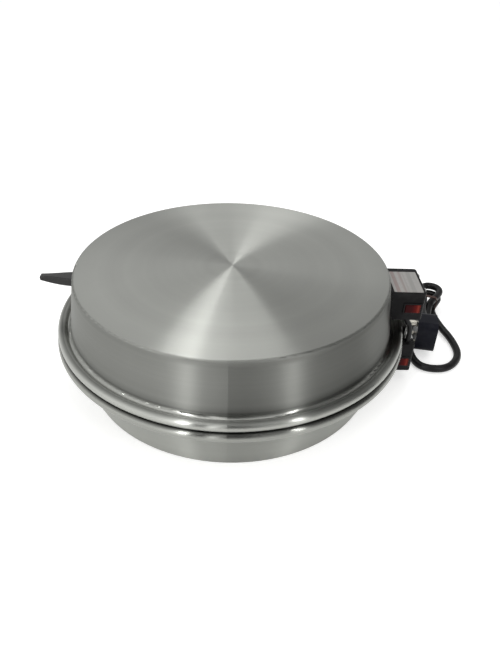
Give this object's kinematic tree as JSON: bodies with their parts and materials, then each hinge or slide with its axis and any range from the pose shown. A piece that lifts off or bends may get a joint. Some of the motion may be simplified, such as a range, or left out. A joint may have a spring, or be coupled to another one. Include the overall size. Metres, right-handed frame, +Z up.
{
  "type": "electric tandoor",
  "caption": "Round electric tandoor: aluminium base and domed lid hinged at the back between black terminal boxes, with handle, heating elements, wire grill, tray, mains cord and plug.",
  "frame": {"origin": "centre of the base pan's flat underside, on the pans' axis, at the surface it stands on", "axes": "+Z up along the pans' axis; -Y towards the handle; +Y towards the hinge, the terminal boxes and the cord"},
  "size_m": [0.37, 0.458, 0.1225],
  "materials": {
    "pan": "fine turned, satin",
    "heater": "matte, heat-darkened",
    "steel": "satin",
    "rivet": "satin",
    "ceramic": "matte, off-white",
    "moulding": "slightly glossy black moulding",
    "cover_screw": "plated",
    "bezel": "gloss black",
    "red_lens": "translucent red",
    "bulb": "clear, neon filled",
    "terminal_screw": "plain",
    "wire": "sleeved",
    "lead": "black sleeved",
    "plate": "pale satin",
    "gland": "matte black",
    "cord": "semi-matte black",
    "tie": "dark",
    "plug": "bluish black",
    "pins": "plated",
    "grill_wire": "bright plated",
    "tray": "satin"
  },
  "bodies": {
    "base": {"base_pan": "pan", "lower_element": "heater", "lower_element_clips": "steel", "hinge_base_leaf": "steel", "hinge_pin": "steel", "hinge_base_screws": "steel", "lower_box_screws": "steel", "lower_bushing_nuts": "steel", "clip_rivets": "rivet", "lower_bushings": "ceramic", "lower_terminal_block": "ceramic", "lower_box_body": "moulding", "lower_box_cover": "moulding", "lower_cover_screws": "cover_screw", "lower_lamp_bezel": "bezel", "lower_lamp_lens": "red_lens", "lower_lamp_bulb": "bulb", "lower_terminal_screws": "terminal_screw", "lower_wires": "wire", "box_lead": "lead", "cord_gland": "gland", "mains_cord": "cord", "cord_hank": "cord", "plug_cord": "cord", "cord_tie": "tie", "mains_plug": "plug", "plug_pins": "pins", "grill": "grill_wire", "baking_tray": "tray"},
    "lid": {"lid_pan": "pan", "upper_element": "heater", "upper_element_clips": "steel", "upper_bushings": "ceramic", "upper_bushing_nuts": "steel", "upper_box_body": "moulding", "upper_box_cover": "moulding", "upper_cover_screws": "cover_screw", "upper_box_screws": "steel", "upper_lamp_bezel": "bezel", "upper_lamp_lens": "red_lens", "upper_lamp_bulb": "bulb", "upper_terminal_block": "ceramic", "upper_terminal_screws": "terminal_screw", "upper_wires": "wire", "cover_plate": "plate", "hinge_lid_leaf": "steel", "hinge_lid_screws": "steel", "handle": "moulding", "handle_washer": "steel", "handle_screw": "steel"}
  },
  "joints": [
    {"name": "lid_hinge", "type": "hinge", "parent": "base", "child": "lid", "pos_m": [0.0025, 0.184, 0.062], "axis": [-1, 0, 0], "range_deg": [0, 95], "deforming": ["box_lead"]}
  ]
}
